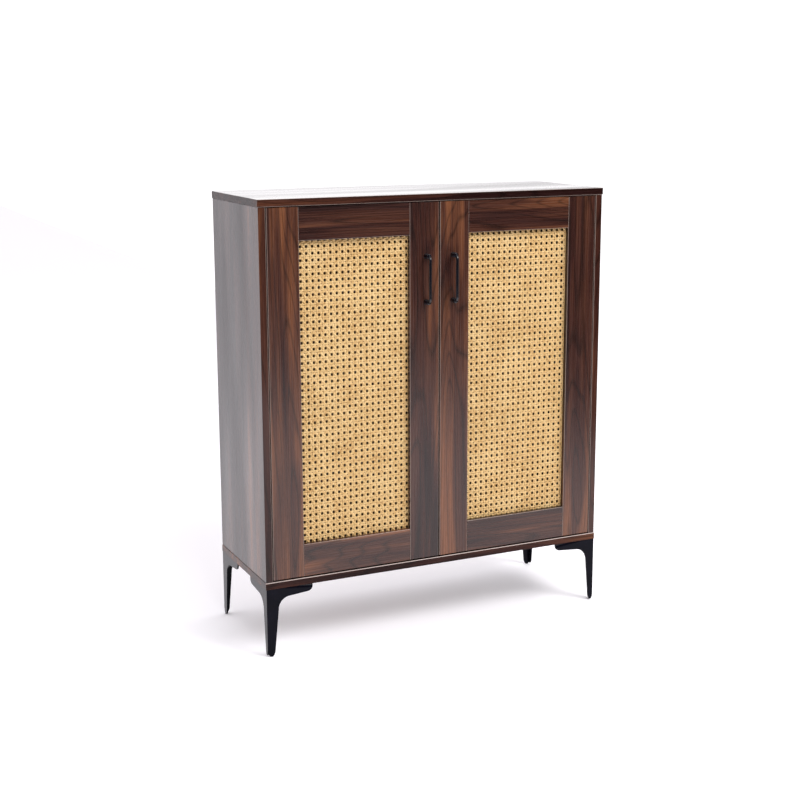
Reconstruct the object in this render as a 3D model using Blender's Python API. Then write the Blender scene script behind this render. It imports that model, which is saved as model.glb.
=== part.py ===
"""Two-door shoe cabinet: walnut board carcass, framed doors with cane webbing, angle legs.

Metres, +Z up. X runs from the left side to the right, the doors face -Y, and the floor is Z = 0.
The origin is the centre of the whole cabinet's footprint, handles included.
"""

import math

import bmesh
import bpy
from mathutils import Matrix, Vector

# --- Overall sizes -------------------------------------------------------------------------
OVERALL_WIDTH = 0.800
OVERALL_DEPTH = 0.290
BODY_HEIGHT = 0.803
LEG_HEIGHT = 0.147
BOARD = 0.015
TOP_OVERHANG = 0.0015
BASE_OVERHANG = 0.001
CONTACT_GAP = 0.0003
BOARD_ARRIS = 0.0005

# --- Back panel in its grooves ---------------------------------------------------------------
BACK_THICKNESS = 0.003
BACK_INSET = 0.010
GROOVE_DEPTH = 0.005
GROOVE_CLEARANCE = 0.0004

# --- Shelves and their pins ------------------------------------------------------------------
SHELF_SETBACK = 0.032
SHELF_SIDE_CLEARANCE = 0.001
SHELF_BACK_CLEARANCE = 0.0015
PIN_ROW_INSET = 0.035
PIN_STEP = 0.032
PIN_STEPS_EACH_WAY = 1
PIN_HOLE_DEPTH = 0.009
PIN_BARREL_RADIUS = 0.0025
PIN_FIT = 0.0003
PIN_COLLAR_RADIUS = 0.0042
PIN_COLLAR = 0.0006
PIN_PEG_RADIUS = 0.0028
PIN_PEG_LENGTH = 0.009

# --- Doors -----------------------------------------------------------------------------------
DOOR_THICKNESS = 0.015
DOOR_SIDE_GAP = 0.002
DOOR_TOP_GAP = 0.002
DOOR_BOTTOM_GAP = 0.003
DOOR_MEETING_GAP = 0.003
STILE_WIDTH = 0.0675
TOP_RAIL_WIDTH = 0.0675
BOTTOM_RAIL_WIDTH = 0.0690
FRAME_LIP = 0.010
RABBET_WIDTH = 0.010
RABBET_CLEARANCE = 0.0005
CANE_THICKNESS = 0.002

# --- Handles ---------------------------------------------------------------------------------
HANDLE_HOLE_SPACING = 0.096
HANDLE_EDGE_INSET = 0.030
HANDLE_TOP_DROP = 0.112
HANDLE_REACH = 0.0235
HANDLE_BAR_WIDTH = 0.0062
HANDLE_BEND_RADIUS = 0.008
HANDLE_POST_RADIUS = 0.0055
HANDLE_POST_LENGTH = 0.015
HANDLE_BORE_DEPTH = 0.0095
SCREW_RADIUS = 0.002
SCREW_FIT = 0.0004
SCREW_HEAD_RADIUS = 0.0042
SCREW_HEAD = 0.0022
SCREW_TIP_CLEARANCE = 0.001

# --- Concealed single-pivot cup hinges -------------------------------------------------------
HINGE_END_DISTANCE = 0.085
CUP_RADIUS = 0.0175
CUP_EDGE_DISTANCE = 0.0045
CUP_HOLE_DEPTH = 0.012
CUP_WALL = 0.001
CUP_RIM_RADIUS = 0.0188
CUP_FLANGE = 0.0012
CUP_EAR_LENGTH = 0.060
CUP_EAR_WIDTH = 0.013
CUP_EAR_OFFSET = 0.0065
PIVOT_FROM_EDGE = 0.018
PIVOT_FROM_BACK = 0.0076
HINGE_PIN_RADIUS = 0.0014
KNUCKLE_RADIUS = 0.0028
ARM_THICKNESS = 0.002
ARM_WIDTH = 0.012
ARM_REACH_IN_CUP = 0.0165
ARM_RISE = 0.021
ARM_BEND_RADIUS = 0.004
ARM_TAIL = 0.050
PLATE_THICKNESS = 0.0058
PLATE_LENGTH = 0.038
PLATE_WIDTH = 0.016
PLATE_WING_SPAN = 0.060
PLATE_WING_LENGTH = 0.012
PLATE_WING_THICKNESS = 0.0025
PLATE_WING_RELIEF = 0.0002

# --- Magnetic catch --------------------------------------------------------------------------
CATCH_WIDTH = 0.050
CATCH_DEPTH = 0.015
CATCH_HEIGHT = 0.012
STRIKE_WIDTH = 0.018
STRIKE_HEIGHT = 0.014
STRIKE_THICKNESS = 0.001
STRIKE_EDGE_INSET = 0.003
CATCH_AIR_GAP = 0.0005

# --- Legs: one angle-section pattern, turned a quarter turn from corner to corner --------------
LEG_WALL = 0.0035
LEG_ARM_LENGTH = 0.1025
LEG_ARM_END_DEPTH = 0.0156
LEG_ARM_ROOT_DEPTH = 0.0192
LEG_ARM_END_RADIUS = 0.012
LEG_PLATE = 0.0025
LEG_PLATE_WIDTH = 0.0155
LEG_PLATE_GUSSET = 0.016
LEG_SCREW_HOLE_RADIUS = 0.0023
LEG_SCREW_NEAR = 0.045
LEG_SCREW_FAR = 0.085
LEG_TIP_HEIGHT = 0.017
LEG_TIP_FLAT_ANGLE = 12.0
# Each flange: where the fillet meets the arm, where it meets the post, and the post's two widths.
WIDE_FLANGE = {"fillet_run": 0.052, "fillet_drop": 0.046, "post": 0.0262, "tip": 0.0176}
NARROW_FLANGE = {"fillet_run": 0.047, "fillet_drop": 0.052, "post": 0.0189, "tip": 0.0120}

# --- Worked out from the sizes above ---------------------------------------------------------
CARCASS_WIDTH = OVERALL_WIDTH - 2 * TOP_OVERHANG
CARCASS_DEPTH = OVERALL_DEPTH - TOP_OVERHANG
FRONT = (HANDLE_REACH - CARCASS_DEPTH) / 2
BACK = FRONT + CARCASS_DEPTH
HALF_WIDTH = CARCASS_WIDTH / 2
INNER_HALF = HALF_WIDTH - BOARD
BASE_TOP = LEG_HEIGHT + BOARD
BODY_TOP = LEG_HEIGHT + BODY_HEIGHT
CEILING = BODY_TOP - BOARD
BACK_FACE = BACK - BACK_INSET - BACK_THICKNESS
SHELF_FRONT = FRONT + SHELF_SETBACK
SHELF_BACK = BACK_FACE - SHELF_BACK_CLEARANCE
SHELF_PITCH = (CEILING - BASE_TOP + BOARD) / 4

DOOR_OUTER_X = INNER_HALF - DOOR_SIDE_GAP
DOOR_WIDTH = DOOR_OUTER_X - DOOR_MEETING_GAP / 2
DOOR_BOTTOM = BASE_TOP + DOOR_BOTTOM_GAP
DOOR_TOP = CEILING - DOOR_TOP_GAP
DOOR_BACK = FRONT + DOOR_THICKNESS
PIVOT_X = DOOR_OUTER_X - PIVOT_FROM_EDGE
PIVOT_Y = DOOR_BACK - PIVOT_FROM_BACK
OPENING_BOTTOM = DOOR_BOTTOM + BOTTOM_RAIL_WIDTH
OPENING_TOP = DOOR_TOP - TOP_RAIL_WIDTH
RETAINER_THICKNESS = DOOR_THICKNESS - FRAME_LIP - CANE_THICKNESS - 2 * CONTACT_GAP
HANDLE_CENTRE_Z = DOOR_TOP - HANDLE_TOP_DROP - HANDLE_HOLE_SPACING / 2
HINGE_HEIGHTS = {"lower": DOOR_BOTTOM + HINGE_END_DISTANCE, "upper": DOOR_TOP - HINGE_END_DISTANCE}
CUP_CENTRE_FROM_EDGE = CUP_EDGE_DISTANCE + CUP_RADIUS

# side of the cabinet: the factor that mirrors an X measured on the left half
SIDES = {"left": 1, "right": -1}

FINE_ROUND = 32
ROUND = 20
SMALL_ROUND = 12


# --- Scene and materials ---------------------------------------------------------------------
def clear_scene():
    for obj in list(bpy.data.objects):
        bpy.data.objects.remove(obj, do_unlink=True)


def make_material(name, color, roughness, metallic=0.0):
    material = bpy.data.materials.new(name)
    material.use_nodes = True
    shader = material.node_tree.nodes["Principled BSDF"]
    shader.inputs["Base Color"].default_value = (*color, 1.0)
    shader.inputs["Roughness"].default_value = roughness
    shader.inputs["Metallic"].default_value = metallic
    material.diffuse_color = (*color, 1.0)
    return material


FINISHES = {
    "walnut_board": ((0.085, 0.042, 0.030), 0.42, 0.0),
    "walnut_door": ((0.095, 0.040, 0.026), 0.42, 0.0),
    "shelf_board": ((0.100, 0.055, 0.040), 0.45, 0.0),
    "hardboard": ((0.170, 0.105, 0.070), 0.70, 0.0),
    "cane": ((0.680, 0.460, 0.210), 0.55, 0.0),
    "black_metal": ((0.012, 0.012, 0.016), 0.38, 0.6),
    "bright_steel": ((0.560, 0.560, 0.550), 0.30, 1.0),
    "catch_plastic": ((0.750, 0.740, 0.700), 0.45, 0.0),
}


def finish(obj, slot):
    """Gives the object its own material, of the finish named by slot."""
    color, roughness, metallic = FINISHES[slot]
    obj.data.materials.clear()
    obj.data.materials.append(make_material(obj.name + "_" + slot, color, roughness, metallic))


# --- Building blocks -------------------------------------------------------------------------
def object_from_bmesh(name, bm, location, parent=None):
    """A new object whose mesh is bm, in coordinates about its location in the world."""
    bmesh.ops.recalc_face_normals(bm, faces=bm.faces)
    mesh = bpy.data.meshes.new(name)
    bm.to_mesh(mesh)
    bm.free()
    obj = bpy.data.objects.new(name, mesh)
    bpy.context.scene.collection.objects.link(obj)
    attach(obj, location, parent)
    return obj


def attach(obj, location, parent=None):
    """Puts the object at a world location, under a parent that is not turned."""
    obj.location = Vector(location)
    if parent:
        obj.parent = parent
        obj.location = Vector(location) - parent.location


def make_box(name, low, high, parent=None, arris=0.0):
    """A box between two world corners, with a small bevel on every edge if arris is given."""
    low, high = Vector(low), Vector(high)
    low, high = Vector(map(min, low, high)), Vector(map(max, low, high))
    bm = bmesh.new()
    bmesh.ops.create_cube(bm, size=1.0)
    bmesh.ops.scale(bm, vec=high - low, verts=bm.verts)
    obj = object_from_bmesh(name, bm, (low + high) / 2, parent)
    if arris:
        bevel = obj.modifiers.new("arris", "BEVEL")
        bevel.width = arris
        bevel.segments = 1
    return obj


AXIS_TURNS = {
    "X": Matrix.Rotation(math.radians(90), 3, "Y"),
    "Y": Matrix.Rotation(math.radians(-90), 3, "X"),
    "Z": Matrix.Identity(3),
}


def add_cylinder(bm, centre, axis, radius, length, segments, end_radius=None):
    """Adds a closed cylinder or cone to bm: radius is at the axis's low end."""
    made = bmesh.ops.create_cone(
        bm,
        cap_ends=True,
        segments=segments,
        radius1=radius,
        radius2=radius if end_radius is None else end_radius,
        depth=length,
    )
    bmesh.ops.rotate(bm, verts=made["verts"], cent=(0, 0, 0), matrix=AXIS_TURNS[axis])
    bmesh.ops.translate(bm, verts=made["verts"], vec=Vector(centre))


def make_cylinder(name, centre, axis, radius, length, segments, parent=None, end_radius=None):
    bm = bmesh.new()
    add_cylinder(bm, (0, 0, 0), axis, radius, length, segments, end_radius)
    return object_from_bmesh(name, bm, centre, parent)


def make_prism(name, outline, axis, low, high, location=(0, 0, 0), parent=None):
    """Extrudes a closed outline along an axis from low to high.

    The outline's two numbers are the other two axes, in X, Y, Z order.
    """
    bm = bmesh.new()
    order = {"X": lambda a, b, c: (c, a, b), "Y": lambda a, b, c: (a, c, b), "Z": lambda a, b, c: (a, b, c)}
    verts = [bm.verts.new(order[axis](a, b, low)) for a, b in outline]
    face = bm.faces.new(verts)
    extruded = bmesh.ops.extrude_face_region(bm, geom=[face])
    moved = [item for item in extruded["geom"] if isinstance(item, bmesh.types.BMVert)]
    bmesh.ops.translate(bm, verts=moved, vec=Vector(order[axis](0, 0, high - low)))
    return object_from_bmesh(name, bm, location, parent)


def make_turned(name, profile, centre, axis, segments, parent=None):
    """A solid of revolution: profile lists (distance along the axis, radius) from end to end."""
    bm = bmesh.new()
    rings = []
    for along, radius in profile:
        ring = []
        for step in range(segments):
            angle = 2 * math.pi * step / segments
            point = Vector((radius * math.cos(angle), radius * math.sin(angle), along))
            ring.append(bm.verts.new(AXIS_TURNS[axis] @ point))
        rings.append(ring)
    for first, second in zip(rings, rings[1:]):
        for step in range(segments):
            after = (step + 1) % segments
            bm.faces.new((first[step], first[after], second[after], second[step]))
    bm.faces.new(rings[0])
    bm.faces.new(rings[-1])
    return object_from_bmesh(name, bm, centre, parent)


def use_as_tool(tool):
    tool.hide_render = True
    tool.display_type = "WIRE"
    return tool


def combine(obj, tool, operation="DIFFERENCE"):
    """Adds an exact Boolean that cuts the tool from the object or joins it on."""
    modifier = obj.modifiers.new(operation.lower() + "_" + tool.name, "BOOLEAN")
    modifier.operation = operation
    modifier.object = use_as_tool(tool)
    modifier.solver = "EXACT"


def shade_round(obj, sharp_degrees=35.0):
    obj.data.shade_smooth()
    obj.data.set_sharp_from_angle(angle=math.radians(sharp_degrees))


def arc_points(centre, radii, start_degrees, end_degrees, steps):
    """Points on an ellipse's arc, both ends included."""
    points = []
    for step in range(steps + 1):
        angle = math.radians(start_degrees + (end_degrees - start_degrees) * step / steps)
        points.append((centre[0] + radii[0] * math.cos(angle), centre[1] + radii[1] * math.sin(angle)))
    return points


def rounded_path(corners, radius, steps):
    """An open path through the corners, each inner corner replaced by an arc of the radius."""
    path = [Vector(corners[0])]
    for before, corner, after in zip(corners, corners[1:], corners[2:]):
        corner = Vector(corner)
        come = (Vector(before) - corner).normalized()
        leave = (Vector(after) - corner).normalized()
        half = come.angle(leave) / 2
        setback = radius / math.tan(half)
        centre = corner + (come + leave).normalized() * (radius / math.sin(half))
        start = corner + come * setback - centre
        end = corner + leave * setback - centre
        turn = start.angle(end)
        for step in range(steps + 1):
            share = step / steps
            blend = start * math.sin((1 - share) * turn) + end * math.sin(share * turn)
            path.append(centre + blend / math.sin(turn))
    path.append(Vector(corners[-1]))
    return path


def ribbon_outline(path, half_width):
    """The closed outline of a strip that follows a 2-D path."""
    sides = ([], [])
    for index, point in enumerate(path):
        before = path[max(index - 1, 0)]
        after = path[min(index + 1, len(path) - 1)]
        along = (after - before).normalized()
        across = Vector((-along.y, along.x)) * half_width
        sides[0].append(tuple(point + across))
        sides[1].append(tuple(point - across))
    return sides[0] + sides[1][::-1]


# --- Carcass ---------------------------------------------------------------------------------
def make_back_groove():
    """The hollow that the back panel sits in, cut from the four boards round it."""
    half = INNER_HALF + GROOVE_DEPTH
    front = BACK_FACE - GROOVE_CLEARANCE
    back = BACK_FACE + BACK_THICKNESS + GROOVE_CLEARANCE
    low = (-half, front, BASE_TOP - GROOVE_DEPTH)
    high = (half, back, CEILING + GROOVE_DEPTH)
    return use_as_tool(make_box("back_groove_cutter", low, high))


def make_carcass():
    groove = make_back_groove()
    top_low = (-OVERALL_WIDTH / 2, FRONT - TOP_OVERHANG, CEILING)
    top = make_box("top_panel", top_low, (OVERALL_WIDTH / 2, BACK, BODY_TOP), arris=BOARD_ARRIS)
    base_half = HALF_WIDTH + BASE_OVERHANG
    base_low = (-base_half, FRONT - BASE_OVERHANG, LEG_HEIGHT)
    base = make_box("bottom_panel", base_low, (base_half, BACK, BASE_TOP), arris=BOARD_ARRIS)
    boards = [top, base]
    for side, mirror in SIDES.items():
        low = (-mirror * HALF_WIDTH, FRONT, BASE_TOP + CONTACT_GAP)
        high = (-mirror * INNER_HALF, BACK, CEILING - CONTACT_GAP)
        boards.append(make_box(side + "_side_panel", low, high, arris=BOARD_ARRIS))
        combine(boards[-1], make_pin_hole_cutter(side, mirror))
    for board in boards:
        combine(board, groove)
        finish(board, "walnut_board")
    tongue = GROOVE_DEPTH - GROOVE_CLEARANCE
    low = (-INNER_HALF - tongue, BACK_FACE, BASE_TOP - tongue)
    high = (INNER_HALF + tongue, BACK_FACE + BACK_THICKNESS, CEILING + tongue)
    finish(make_box("back_panel", low, high), "hardboard")


# --- Shelves and pins ------------------------------------------------------------------------
def shelf_underside(number):
    """The height of the underside of shelf 1, 2 or 3, counted from the bottom."""
    return BASE_TOP - BOARD + number * SHELF_PITCH


ADJUSTABLE_SHELVES = {"lower": shelf_underside(1), "upper": shelf_underside(3)}
PIN_ROWS = {"front": SHELF_FRONT + PIN_ROW_INSET, "back": SHELF_BACK - PIN_ROW_INSET}


def pin_height(underside):
    return underside - CONTACT_GAP - PIN_PEG_RADIUS


def make_pin_hole_cutter(side, mirror):
    """The rows of blind shelf-pin holes in one side panel, in one cutter."""
    bm = bmesh.new()
    steps = range(-PIN_STEPS_EACH_WAY, PIN_STEPS_EACH_WAY + 1)
    for underside in ADJUSTABLE_SHELVES.values():
        for row in PIN_ROWS.values():
            for step in steps:
                centre = (-mirror * INNER_HALF, row, pin_height(underside) + step * PIN_STEP)
                add_cylinder(bm, centre, "X", PIN_BARREL_RADIUS, 2 * PIN_HOLE_DEPTH, SMALL_ROUND)
    return use_as_tool(object_from_bmesh(side + "_pin_hole_cutter", bm, (0, 0, 0)))


def make_shelves():
    half = INNER_HALF - CONTACT_GAP
    bottom = shelf_underside(2)
    low = (-half, SHELF_FRONT, bottom)
    high = (half, BACK_FACE - CONTACT_GAP, bottom + BOARD)
    finish(make_box("fixed_shelf", low, high, arris=BOARD_ARRIS), "shelf_board")
    half = INNER_HALF - SHELF_SIDE_CLEARANCE
    for name, bottom in ADJUSTABLE_SHELVES.items():
        low = (-half, SHELF_FRONT, bottom)
        high = (half, SHELF_BACK, bottom + BOARD)
        finish(make_box(name + "_shelf", low, high, arris=BOARD_ARRIS), "shelf_board")
        for side, mirror in SIDES.items():
            for row, y in PIN_ROWS.items():
                make_shelf_pin(f"{name}_shelf_pin_{side}_{row}", mirror, y, pin_height(bottom))


def make_shelf_pin(name, mirror, y, z):
    """A pin with a barrel in the side panel, a collar on its face and a peg under the shelf."""
    barrel = PIN_BARREL_RADIUS - PIN_FIT
    collar = PIN_COLLAR + CONTACT_GAP
    profile = [
        (-PIN_HOLE_DEPTH + CONTACT_GAP, barrel * 0.8),
        (-PIN_HOLE_DEPTH + 2 * CONTACT_GAP, barrel),
        (CONTACT_GAP, barrel),
        (CONTACT_GAP, PIN_PEG_RADIUS),
        (collar + PIN_PEG_LENGTH - CONTACT_GAP, PIN_PEG_RADIUS),
        (collar + PIN_PEG_LENGTH, PIN_PEG_RADIUS * 0.85),
    ]
    profile = [(mirror * along, radius) for along, radius in profile]
    pin = make_turned(name, profile, (-mirror * INNER_HALF, y, z), "X", SMALL_ROUND)
    shade_round(pin)
    finish(pin, "bright_steel")


# --- Doors -----------------------------------------------------------------------------------
class Door:
    """One door's frame of reference: x from its outer edge inwards, y from its front face."""

    def __init__(self, side, mirror):
        self.side = side
        self.mirror = mirror
        self.pivot = bpy.data.objects.new(side + "_door_pivot", None)
        bpy.context.scene.collection.objects.link(self.pivot)
        self.pivot.location = (-mirror * PIVOT_X, PIVOT_Y, DOOR_BOTTOM)

    def name(self, piece):
        return self.side + "_" + piece

    def point(self, x, y, z):
        return (self.mirror * (x - DOOR_OUTER_X), FRONT + y, z)

    def box(self, piece, low, high, arris=0.0):
        low, high = self.point(*low), self.point(*high)
        return make_box(self.name(piece), low, high, self.pivot, arris)


def make_door(door):
    inner = DOOR_WIDTH - STILE_WIDTH
    pieces = {
        "door_outer_stile": ((0, DOOR_BOTTOM), (STILE_WIDTH, DOOR_TOP)),
        "door_inner_stile": ((inner, DOOR_BOTTOM), (DOOR_WIDTH, DOOR_TOP)),
        "door_top_rail": ((STILE_WIDTH + CONTACT_GAP, OPENING_TOP), (inner - CONTACT_GAP, DOOR_TOP)),
        "door_bottom_rail": (
            (STILE_WIDTH + CONTACT_GAP, DOOR_BOTTOM),
            (inner - CONTACT_GAP, OPENING_BOTTOM),
        ),
    }
    rabbet = door.box(
        "rabbet_cutter",
        (STILE_WIDTH - RABBET_WIDTH, FRAME_LIP, OPENING_BOTTOM - RABBET_WIDTH),
        (inner + RABBET_WIDTH, 2 * DOOR_THICKNESS, OPENING_TOP + RABBET_WIDTH),
    )
    frame = {}
    for piece, (low, high) in pieces.items():
        board = door.box(piece, (low[0], 0, low[1]), (high[0], DOOR_THICKNESS, high[1]), BOARD_ARRIS)
        combine(board, rabbet)
        finish(board, "walnut_door")
        frame[piece] = board
    make_cane(door, inner)
    make_handle(door, frame["door_inner_stile"])
    make_strike_plate(door)
    for place, z in HINGE_HEIGHTS.items():
        make_hinge(door, place, z, frame["door_outer_stile"])


def make_cane(door, inner):
    """The cane sheet on the rabbet's shoulder and the frame behind that holds it there."""
    reach = RABBET_WIDTH - RABBET_CLEARANCE
    front = FRAME_LIP + CONTACT_GAP
    back = front + CANE_THICKNESS
    low = (STILE_WIDTH - reach, front, OPENING_BOTTOM - reach)
    high = (inner + reach, back, OPENING_TOP + reach)
    finish(door.box("cane_panel", low, high), "cane")
    low = (low[0], back + CONTACT_GAP, low[2])
    high = (high[0], DOOR_THICKNESS, high[2])
    retainer = door.box("cane_retaining_frame", low, high)
    window = door.box(
        "retainer_window_cutter",
        (STILE_WIDTH, 0, OPENING_BOTTOM),
        (inner, 2 * DOOR_THICKNESS, OPENING_TOP),
    )
    combine(retainer, window)
    finish(retainer, "hardboard")


# --- Handles ---------------------------------------------------------------------------------
def make_handle(door, stile):
    """A bar bent back at both ends into two round posts, with a screw into each post."""
    x = DOOR_WIDTH - HANDLE_EDGE_INSET
    half_bar = HANDLE_BAR_WIDTH / 2
    half_span = HANDLE_HOLE_SPACING / 2
    bar_y = half_bar - HANDLE_REACH
    root_y = -CONTACT_GAP - HANDLE_POST_LENGTH / 2
    corners = [(root_y, half_span), (bar_y, half_span), (bar_y, -half_span), (root_y, -half_span)]
    path = rounded_path(corners, HANDLE_BEND_RADIUS, 6)
    outline = ribbon_outline(path, half_bar)
    centre = door.point(x, 0, HANDLE_CENTRE_Z)
    name = door.name("handle")
    handle = make_prism(name, outline, "X", -half_bar, half_bar, centre, door.pivot)
    for end, offset in {"upper": half_span, "lower": -half_span}.items():
        post_y = -CONTACT_GAP - HANDLE_POST_LENGTH / 2
        post_centre = door.point(x, post_y, HANDLE_CENTRE_Z + offset)
        post = make_cylinder(
            f"{name}_{end}_post_tool",
            post_centre,
            "Y",
            HANDLE_POST_RADIUS * 0.8,
            HANDLE_POST_LENGTH,
            ROUND,
            door.pivot,
            HANDLE_POST_RADIUS,
        )
        combine(handle, post, "UNION")
    for end, offset in {"upper": half_span, "lower": -half_span}.items():
        bore_centre = door.point(x, 0, HANDLE_CENTRE_Z + offset)
        bore_length = 2 * (HANDLE_BORE_DEPTH + CONTACT_GAP)
        radius = SCREW_RADIUS + SCREW_FIT
        bore = make_cylinder(
            f"{name}_{end}_bore_cutter", bore_centre, "Y", radius, bore_length, SMALL_ROUND, door.pivot
        )
        combine(handle, bore)
        hole = make_cylinder(
            f"{name}_{end}_hole_cutter", bore_centre, "Y", radius, 4 * DOOR_THICKNESS, SMALL_ROUND, door.pivot
        )
        combine(stile, hole)
        make_handle_screw(door, f"handle_screw_{end}", x, HANDLE_CENTRE_Z + offset)
    shade_round(handle)
    finish(handle, "black_metal")


def make_handle_screw(door, piece, x, z):
    """A pan-head screw, its head on the back of the stile and its end inside the handle's post."""
    tip = SCREW_TIP_CLEARANCE - HANDLE_BORE_DEPTH
    seat = DOOR_THICKNESS + CONTACT_GAP
    profile = [
        (tip, SCREW_RADIUS * 0.7),
        (tip + SCREW_RADIUS * 0.4, SCREW_RADIUS),
        (seat, SCREW_RADIUS),
        (seat, SCREW_HEAD_RADIUS),
        (seat + SCREW_HEAD * 0.6, SCREW_HEAD_RADIUS),
        (seat + SCREW_HEAD, SCREW_HEAD_RADIUS * 0.6),
    ]
    centre = door.point(x, 0, z)
    screw = make_turned(door.name(piece), profile, centre, "Y", SMALL_ROUND, door.pivot)
    shade_round(screw)
    finish(screw, "bright_steel")


# --- Hinges ----------------------------------------------------------------------------------
def make_hinge(door, place, z, stile):
    """A single-pivot cup hinge: cup and pin on the door, goose-neck arm and plate on the side."""
    make_hinge_cup(door, place, z, stile)
    make_hinge_pin(door, place, z)
    make_hinge_arm(door, place, z)
    make_mounting_plate(door, place, z)


def cup_flange_outline():
    """The rim's circle with two ears beside it: x from the cup's centre inwards, then z."""
    half = CUP_EAR_LENGTH / 2
    near = CUP_EAR_OFFSET - CUP_EAR_WIDTH / 2
    far = CUP_EAR_OFFSET + CUP_EAR_WIDTH / 2
    near_turn = math.degrees(math.acos(near / CUP_RIM_RADIUS))
    far_turn = math.degrees(math.acos(far / CUP_RIM_RADIUS))
    rim = (CUP_RIM_RADIUS, CUP_RIM_RADIUS)
    outline = arc_points((0, 0), rim, -far_turn, far_turn, 8)
    outline += [(far, half), (near, half)]
    outline += arc_points((0, 0), rim, near_turn, 360 - near_turn, 16)
    outline += [(near, -half), (far, -half)]
    return outline


def make_hinge_cup(door, place, z, stile):
    """The cup in its bored hole, with a screw flange on the back of the stile."""
    x = CUP_CENTRE_FROM_EDGE
    floor_y = DOOR_THICKNESS - CUP_HOLE_DEPTH
    hole = make_cylinder(
        door.name(place + "_cup_hole_cutter"),
        door.point(x, floor_y + CUP_HOLE_DEPTH, z),
        "Y",
        CUP_RADIUS,
        2 * CUP_HOLE_DEPTH,
        FINE_ROUND,
        door.pivot,
    )
    combine(stile, hole)
    seat = DOOR_THICKNESS + CONTACT_GAP
    face = seat + CUP_FLANGE
    outer = CUP_RADIUS - CONTACT_GAP
    bottom = floor_y + CONTACT_GAP
    profile = [
        (bottom, outer - CUP_WALL),
        (bottom + CUP_WALL, outer),
        (seat + CUP_FLANGE / 2, outer),
    ]
    centre = door.point(x, 0, z)
    name = door.name(place + "_hinge_cup")
    cup = make_turned(name, profile, centre, "Y", FINE_ROUND, door.pivot)
    outline = [(door.mirror * across, up) for across, up in cup_flange_outline()]
    flange = make_prism(name + "_flange_tool", outline, "Y", seat, face, centre, door.pivot)
    combine(cup, flange, "UNION")
    inside_floor = bottom + CUP_WALL
    hollow = make_cylinder(
        door.name(place + "_cup_hollow_cutter"),
        door.point(x, face, z),
        "Y",
        outer - CUP_WALL,
        2 * (face - inside_floor),
        FINE_ROUND,
        door.pivot,
    )
    combine(cup, hollow)
    shade_round(cup)
    finish(cup, "bright_steel")


def make_hinge_pin(door, place, z):
    """The pivot pin across the cup, from wall to wall."""
    inner_radius = CUP_RADIUS - CONTACT_GAP - CUP_WALL
    offset = CUP_CENTRE_FROM_EDGE - PIVOT_FROM_EDGE
    facet_share = math.cos(math.pi / FINE_ROUND)
    half_chord = math.sqrt((inner_radius * facet_share) ** 2 - (abs(offset) + HINGE_PIN_RADIUS) ** 2)
    half_length = half_chord - CONTACT_GAP
    centre = (-door.mirror * PIVOT_X, PIVOT_Y, z)
    name = door.name(place + "_hinge_pin")
    pin = make_cylinder(name, centre, "Z", HINGE_PIN_RADIUS, 2 * half_length, SMALL_ROUND, door.pivot)
    shade_round(pin)
    finish(pin, "bright_steel")


def make_hinge_arm(door, place, z):
    """A strip that leaves the pin sideways inside the cup, rises behind the door and runs back.

    Leaving the cup sideways keeps it clear of the door's outer edge at every angle.
    """
    pivot_x = PIVOT_FROM_EDGE
    pivot_y = DOOR_THICKNESS - PIVOT_FROM_BACK
    neck_x = pivot_x + ARM_REACH_IN_CUP
    rise_y = pivot_y + ARM_RISE
    tail_x = PLATE_THICKNESS + CONTACT_GAP + ARM_THICKNESS / 2 - DOOR_SIDE_GAP
    corners = [
        (pivot_x, pivot_y),
        (neck_x, pivot_y),
        (neck_x, rise_y),
        (tail_x, rise_y),
        (tail_x, rise_y + ARM_TAIL),
    ]
    path = rounded_path(corners, ARM_BEND_RADIUS, 4)
    outline = [door.point(x, y, 0)[:2] for x, y in ribbon_outline(path, ARM_THICKNESS / 2)]
    half = ARM_WIDTH / 2
    name = door.name(place + "_hinge_arm")
    arm = make_prism(name, outline, "Z", -half, half, (0, 0, z))
    knuckle_centre = (-door.mirror * PIVOT_X, PIVOT_Y, z)
    knuckle = make_cylinder(name + "_knuckle_tool", knuckle_centre, "Z", KNUCKLE_RADIUS, ARM_WIDTH, ROUND)
    combine(arm, knuckle, "UNION")
    bore_radius = HINGE_PIN_RADIUS + CONTACT_GAP
    bore = make_cylinder(name + "_bore_cutter", knuckle_centre, "Z", bore_radius, 2 * ARM_WIDTH, SMALL_ROUND)
    combine(arm, bore)
    shade_round(arm)
    finish(arm, "bright_steel")


def make_mounting_plate(door, place, z):
    """The block that the arm clips on, with two screw wings against the side panel."""
    near = -DOOR_SIDE_GAP + CONTACT_GAP
    back_y = DOOR_THICKNESS - PIVOT_FROM_BACK + ARM_RISE + ARM_TAIL
    front_y = back_y - PLATE_LENGTH
    wing_y = (front_y + back_y) / 2
    half = PLATE_WIDTH / 2
    low = door.point(near, front_y, z - half)
    high = door.point(near + PLATE_THICKNESS - CONTACT_GAP, back_y, z + half)
    plate = make_box(door.name(place + "_hinge_plate"), low, high)
    wing_low = door.point(
        near + PLATE_WING_RELIEF, wing_y - PLATE_WING_LENGTH / 2, z - PLATE_WING_SPAN / 2
    )
    wing_high = door.point(
        near + PLATE_WING_THICKNESS, wing_y + PLATE_WING_LENGTH / 2, z + PLATE_WING_SPAN / 2
    )
    wings = make_box(door.name(place + "_hinge_wings_tool"), wing_low, wing_high)
    combine(plate, wings, "UNION")
    finish(plate, "bright_steel")


# --- Catch -----------------------------------------------------------------------------------
def make_strike_plate(door):
    seat = DOOR_THICKNESS + CONTACT_GAP
    top = DOOR_TOP - STRIKE_EDGE_INSET
    far = DOOR_WIDTH - STRIKE_EDGE_INSET
    low = (far - STRIKE_WIDTH, seat, top - STRIKE_HEIGHT)
    high = (far, seat + STRIKE_THICKNESS, top)
    finish(door.box("strike_plate", low, high), "bright_steel")


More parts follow.
